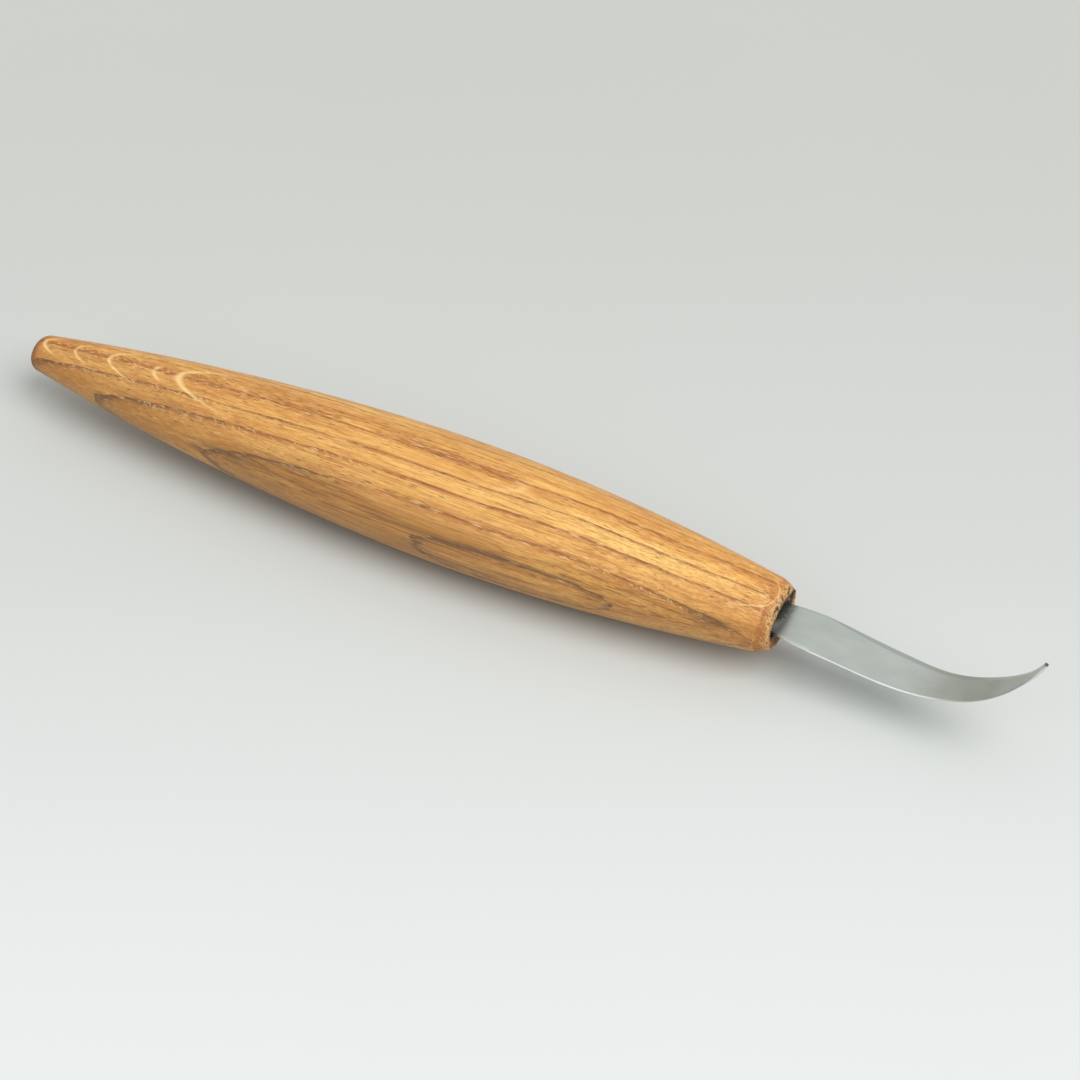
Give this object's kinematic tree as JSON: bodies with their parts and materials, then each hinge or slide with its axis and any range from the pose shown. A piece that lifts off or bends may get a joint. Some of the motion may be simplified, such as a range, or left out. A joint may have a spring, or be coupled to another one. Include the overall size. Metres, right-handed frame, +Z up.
{
  "type": "hook knife",
  "caption": "Long-handled hook knife for spoon carving: an oval hardwood handle with a narrow, upward-curving steel blade bedded in its front end.",
  "frame": {"origin": "under the middle of the knife's overall length, on the surface that the handle's belly lies on", "axes": "+X along the handle towards the blade's tip, +Y towards the blade's front edge, +Z up, the way the hook sweeps"},
  "size_m": [0.2703, 0.034, 0.0332],
  "materials": {
    "hardwood": "oiled, satin",
    "blade_steel": "fine ground, satin",
    "set_resin": "set dark resin"
  },
  "bodies": {
    "root": {"handle": "hardwood", "blade": "blade_steel", "tang_adhesive": "set_resin"}
  },
  "joints": []
}
